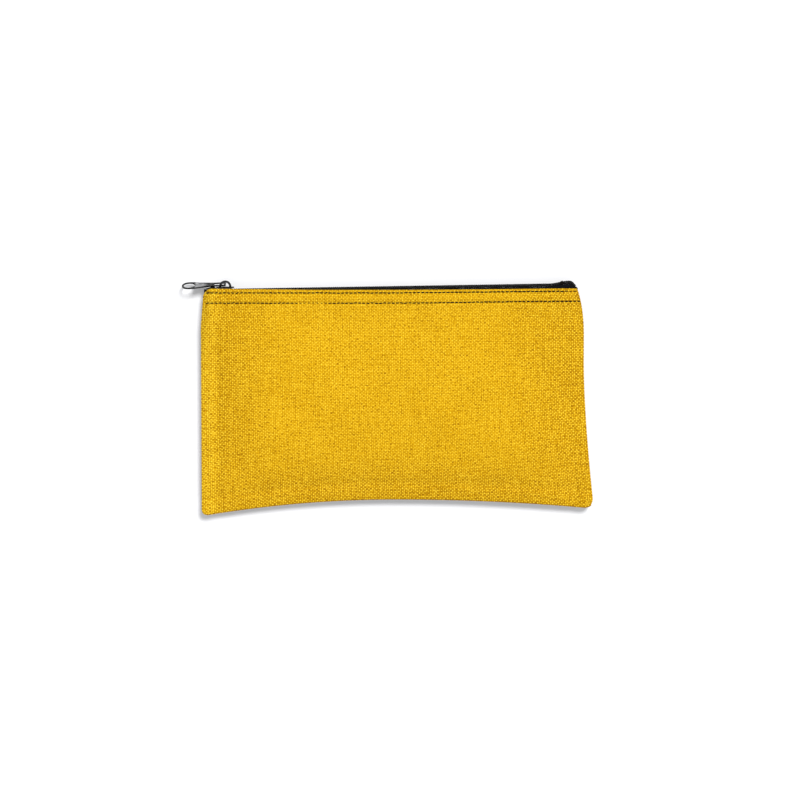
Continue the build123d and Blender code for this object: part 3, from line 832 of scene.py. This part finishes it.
def make_tape(name, side):
    """Woven tape: flat under the coil, then turned down against the inside of the hem."""
    s = steps((TAPE_LEFT, 0.8), (FINE_LEFT, 2.4), (FINE_RIGHT, 0.8), (TAPE_RIGHT, 0))
    turn = np.linspace(0, math.pi / 2, 6)[1:]
    level = np.linspace(TAPE_EDGE, TAPE_WALL - TAPE_BEND, 5)
    upright = np.linspace(-TAPE_HANG, -TAPE_DEPTH, 6)
    y = np.concatenate([level, TAPE_WALL - TAPE_BEND + TAPE_BEND * np.sin(turn),
                        TAPE_WALL + 0 * upright])
    w = np.concatenate([0 * level, TAPE_BEND * (np.cos(turn) - 1), upright]) - TAPE / 2
    squeeze = (hem_room(s) - TAPE_NEAR) / (TAPE_WALL - TAPE_NEAR)
    across = TAPE_NEAR + (y[None, :] - TAPE_NEAR) * squeeze[:, None]
    rng = np.random.default_rng(31 if side < 0 else 32)
    ripple = np.interp(s, np.linspace(s[0], s[-1], TAPE_RIPPLES),
                       rng.normal(0, TAPE_RIPPLE, TAPE_RIPPLES))
    points = chain(s[:, None], side * across, w[None, :] + (lift(s) + ripple)[:, None])
    length = np.concatenate([[0], np.cumsum(np.hypot(np.diff(y), np.diff(w)))])
    weave = np.stack(np.broadcast_arrays(s[:, None], length[None, :]), axis=-1)
    return sheet(name, points, weave, side, TAPE)


def coil_ends(s):
    """1 along the coil, less where its last turns are pinched into the side seams."""
    inside = smooth(np.minimum((s - COIL_LEFT) / PINCH_LEFT, (COIL_RIGHT - s) / PINCH_RIGHT))
    return COIL_PINCH + (1 - COIL_PINCH) * inside


def make_coil(name, side):
    """The nylon spiral: its loops reach past the middle, between the other coil's loops."""
    turns = int((COIL_RIGHT - COIL_LEFT) / COIL_PITCH) - 1
    angle = winding(turns, COIL_STEPS)
    s = COIL_LEFT + COIL_PITCH * (angle / (2 * math.pi) + (0.5 if side > 0 else 0.0))
    grip = coil_ends(s)
    y = COIL_MIDDLE * grip + COIL_REACH * grip * np.cos(angle)
    w = grip * (COIL_LEVEL + COIL_RISE * np.sin(angle)) + lift(s)
    points, faces = [], []
    tube(points, faces, chain(s, side * y, w), COIL_WIRE, THIN_SIDES, up=CHAIN_AXIS)
    return mesh_object(name, points, faces)


def make_cord(name, side):
    """The twisted core cord inside the coil."""
    s = steps((COIL_LEFT + 0.5, 0.4), (COIL_RIGHT - 0.5, 0))
    radius = CORD_RADIUS * (1 + CORD_TWIST * np.sin(2 * math.pi * s / CORD_PITCH))
    grip = coil_ends(s)
    path = chain(s, side * (COIL_MIDDLE + CORD_ASIDE) * grip,
                 (COIL_LEVEL - CORD_BELOW) * grip + lift(s))
    points, faces = [], []
    tube(points, faces, path, radius, THICK_SIDES)
    return mesh_object(name, points, faces)


def make_coil_thread(name, side):
    """Two lines of thread that lie on the coil and sag between its turns, and one at its foot."""
    s = steps((COIL_LEFT + 1, COIL_PITCH / 6), (COIL_RIGHT - 1, 0))
    sag = LAID_SAG * (1 - np.cos(2 * math.pi * s / COIL_PITCH))
    points, faces = [], []
    for across in LAID_LINES:
        rise = COIL_RISE * math.sqrt(1 - ((across - COIL_MIDDLE) / COIL_REACH) ** 2)
        w = coil_ends(s) * (COIL_LEVEL + rise + COIL_WIRE + LAID_ABOVE) - sag + lift(s)
        tube(points, faces, chain(s, side * across * coil_ends(s), w), LAID_THREAD,
             THIN_SIDES)
    w = BASE_THREAD + sag / 2 + lift(s) - BASE_SINK
    tube(points, faces, chain(s, side * BASE_LINE * coil_ends(s), w), BASE_THREAD, THIN_SIDES)
    return mesh_object(name, points, faces)


def make_tack(name, where):
    """Close turns of thread round both tapes and both coils."""
    points, faces = [], []
    angle = np.linspace(0, TACK_ANGLE, 30)
    for k in range(TACK_TURNS):
        s = where + (k + angle / (2 * math.pi)) * TACK_PITCH
        path = chain(s, TACK_HALF * np.cos(angle),
                     TACK_LEVEL + TACK_RISE * np.sin(angle) + lift(s))
        tube(points, faces, path, TACK_THREAD, THIN_SIDES, up=CHAIN_AXIS)
    return mesh_object(name, points, faces)


ZIPPER_PARTS = ((make_tape, "zipper_tape", "zipper_tape"), (make_coil, "coil", "coil_nylon"),
                (make_cord, "core_cord", "core_cord"),
                (make_coil_thread, "coil_thread", "black_thread"))
for side, wall, pieces in ((-1, "front", front_pieces), (1, "back", back_pieces)):
    for maker, part, slot_name in ZIPPER_PARTS:
        stand_in(maker(f"{wall}_{part}_piece", side), f"{wall}_{part}", slot_name, pieces)
for node, where in TACKS.items():
    stand_in(make_tack(node + "_piece", where), node, "black_thread", back_pieces)


# ---- topstitching through the hems ----
ROW_LEFT = -134.3
ROW_ENDS = {"upper": 127.0, "lower": 131.5}
ROW_CLIMB = 1.9                          # the front's rows rise this many times as much as its edge
STITCH_LENGTH = 2.5
STITCH_LENGTHS = (0.86, 1.08)            # the shortest and the longest, as shares of it
STITCH_RADIUS = 0.43
STITCH_TAPER = 0.3                       # share of the radius that is lost at the ends
STITCH_PROUD = 0.3                       # the middle of a stitch from the cloth's face
STITCH_DIVE = 0.55                       # its ends lie this much deeper
STITCH_SLANT, STITCH_WANDER, STITCH_UNEVEN = 0.1, 0.07, 0.1     # random, in millimetres
FAINT_DEPTH = 0.5                        # sunk into the cloth where they look faint
FAINT_MIDDLE, FAINT_WIDTH = -60.0, 13.0  # a stretch of the front's lower row
FAINT_END = (116, 124)                   # and the right end of the upper rows


def surface_y(tree, side, x, z):
    """Where a line across the bag meets the outer face of a wall, or None."""
    start = (np.array([x, side * 40.0, z]) + FOOT) * MM
    hit = tree.ray_cast(Vector(start), Vector((0, -side, 0)))[0]
    return None if hit is None else hit.y / MM - FOOT[1]


def make_stitches(name, cloth, side, row, seed):
    """One row of lockstitches that lie on the cloth and sink into it at both ends."""
    tree = BVHTree.FromObject(cloth, bpy.context.evaluated_depsgraph_get())
    rng = np.random.default_rng(seed)
    points, faces = [], []
    middle = ROW_LEFT
    while middle < ROW_ENDS[row]:
        length = STITCH_LENGTH * rng.uniform(*STITCH_LENGTHS)
        slant = rng.normal(0, STITCH_SLANT)
        shift = ROW_CLIMB * climb(middle) if side < 0 else -BACK_DROP
        level = TOP - STITCH_ROWS[row] + shift + rng.normal(0, STITCH_WANDER)
        sunk = STITCH_UNEVEN * rng.random()
        if row == "upper":
            sunk += FAINT_DEPTH * ramp(middle, *FAINT_END)
        elif side < 0:
            sunk += FAINT_DEPTH * np.exp(-(((middle - FAINT_MIDDLE) / FAINT_WIDTH) ** 4))
        t = np.linspace(-1, 1, 9)
        x = middle + t * length / 2
        z = level + slant * t
        y = [surface_y(tree, side, a, b) for a, b in zip(x, z)]
        if None not in y:
            proud = STITCH_PROUD - sunk - STITCH_DIVE * t ** 4
            path = np.stack([x, np.array(y) + side * proud, z], axis=-1)
            radius = STITCH_RADIUS * (1 - STITCH_TAPER * t ** 2)
            tube(points, faces, path, radius, THICK_SIDES)
        middle += STITCH_PITCH
    return mesh_object(name, points, faces)


for side, wall, cloth, pieces in ((-1, "front", front_cloth, front_pieces),
                                  (1, "back", back_cloth, back_pieces)):
    for number, row in enumerate(STITCH_ROWS):
        seed = 50 + 2 * side + number
        stitches = make_stitches(f"{wall}_{row}_stitch_row", cloth, side, row, seed)
        stand_in(stitches, f"{wall}_{row}_stitches", "black_thread", pieces)


# ---- overlock thread round the raw edges of the turned-in plies ----
OVERLOCK_PITCH = 2.2
OVERLOCK_STEPS = 14
OVERLOCK_MIDDLE = 8.4
OVERLOCK_REACH = 1.15
OVERLOCK_RISE = 1.32
OVERLOCK_THREAD = 0.18
SEAM_TOP = TOP - HEM - 4
OVERLOCKS = (                            # name, x and z at s along a seam, inset; start, stop
    ("left_overlock_thread", lambda s, inset: (left_at(s) + inset, s), 13.0, SEAM_TOP),
    ("right_overlock_thread", lambda s, inset: (right_at(s) - inset, s), 21.0, SEAM_TOP),
    ("bottom_overlock_thread", lambda s, inset: (s, bottom_at(s) + inset), -126.0, 126.0),
)


def make_overlock(name, edge_at, start, stop):
    """A thread wound round the edge of the plies, from start to stop along a seam."""
    turns = int(abs(stop - start) / OVERLOCK_PITCH)
    angle = winding(turns, OVERLOCK_STEPS)
    s = start + OVERLOCK_PITCH * angle / (2 * math.pi)
    x, z = edge_at(s, OVERLOCK_MIDDLE + OVERLOCK_REACH * np.cos(angle))
    path = np.stack([x, OVERLOCK_RISE * np.sin(angle), z], axis=-1)
    along = np.array(edge_at(s[-1:], 0)) - np.array(edge_at(s[:1], 0))
    points, faces = [], []
    up = (along[0, 0], 0.0, along[1, 0])
    tube(points, faces, path, OVERLOCK_THREAD, THIN_SIDES, up)
    return mesh_object(name, points, faces)


for node, edge_at, start, stop in OVERLOCKS:
    overlock = make_overlock(node + "_piece", edge_at, start, stop)
    stand_in(overlock, node, "yellow_thread", back_pieces)


for piece in front_pieces:
    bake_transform(piece)
    where = np.array([v.co for v in piece.data.vertices]) / MM - FOOT
for piece in back_pieces:
    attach(piece, "back_wall")
for part in frame["record"]["subparts"]:
    kept = frame["nodes"][part["node"]]
    kept.data.materials.clear()
    kept.data.materials.append(SLOTS[part["material_slot"]])


# ---- the surface it lies on, light and camera ----
PAPER_COLOR = (0.93, 0.93, 0.945, 1)
PAPER_REACH = 1600
PAPER_GAP = 0.3                          # behind the CAD's back face
SKY_COLOR, SKY_STRENGTH = (0.98, 0.99, 1.0, 1), 0.52
WHITE = (1, 1, 1, 1)
CAMERA_LENS = 100
CAMERA_DISTANCE = 1588.0
CAMERA_ELEVATION = math.radians(3.0)
CAMERA_AIM = np.array([2.5, 0.0, 82.5])


def paper_material():
    """White paper that can't be seen from behind or edge on."""
    mat, tree, _ = material("paper_sweep")
    geometry = add(tree, "ShaderNodeNewGeometry").outputs
    edge_on = between(tree, dot(tree, geometry["Incoming"], geometry["Normal"]), 0.25, 0.1)
    unseen = calc(tree, "MAXIMUM", geometry["Backfacing"], edge_on)
    diffuse = add(tree, "ShaderNodeBsdfDiffuse", {"Color": PAPER_COLOR})
    clear = add(tree, "ShaderNodeBsdfTransparent")
    both = add(tree, "ShaderNodeMixShader",
               {0: unseen, 1: diffuse.outputs[0], 2: clear.outputs[0]})
    put(tree, tree.nodes["Material Output"], {"Surface": both.outputs[0]})
    return mat


def make_paper():
    y = BACK_DEPTH + PAPER_GAP
    square = ((-1, -1), (1, -1), (1, 1), (-1, 1))
    corners = [(x * PAPER_REACH, y, z * PAPER_REACH) for x, z in square]
    paper = mesh_object("paper", corners, [(0, 1, 2, 3)])
    paper.data.materials.append(paper_material())
    # it takes the bag's shadow, and throws none on the back of the bag
    paper.visible_diffuse = False
    paper.visible_glossy = False
    paper.visible_shadow = False


def make_world():
    """An even sky, which the camera sees as plain white."""
    world = bpy.data.worlds.new("studio")
    world.use_nodes = True
    tree = world.node_tree
    sky = tree.nodes["Background"]
    put(tree, sky, {"Color": SKY_COLOR, "Strength": SKY_STRENGTH})
    white = add(tree, "ShaderNodeBackground", {"Color": WHITE, "Strength": 1.0})
    seen = add(tree, "ShaderNodeLightPath").outputs["Is Camera Ray"]
    chosen = add(tree, "ShaderNodeMixShader", {0: seen, 1: sky.outputs[0], 2: white.outputs[0]})
    put(tree, tree.nodes["World Output"], {"Surface": chosen.outputs[0]})
    bpy.context.scene.world = world


def sun(name, towards, strength, angle):
    """A soft sun that shines from the direction towards."""
    light = bpy.data.lights.new(name, "SUN")
    light.energy = strength
    light.angle = math.radians(angle)
    obj = bpy.data.objects.new(name, light)
    obj.rotation_euler = Vector(towards).to_track_quat("Z", "Y").to_euler()
    bpy.context.scene.collection.objects.link(obj)


def make_camera():
    camera = bpy.data.objects.new("camera", bpy.data.cameras.new("camera"))
    bpy.context.scene.collection.objects.link(camera)
    camera.data.lens = CAMERA_LENS
    away = (0, -CAMERA_DISTANCE, CAMERA_DISTANCE * math.tan(CAMERA_ELEVATION))
    camera.location = (CAMERA_AIM + FOOT + away) * MM
    camera.rotation_euler = (math.radians(90) - CAMERA_ELEVATION, 0, 0)
    bpy.context.scene.camera = camera


make_paper()
make_world()
sun("key", towards=(0.30, -1.0, 0.50), strength=2.5, angle=20)
sun("low_fill", towards=(-0.1, -1.0, -0.7), strength=0.25, angle=50)
sun("back_fill", towards=(-0.35, 1.0, 0.5), strength=1.9, angle=30)
make_camera()
bpy.context.scene.view_settings.view_transform = "Standard"
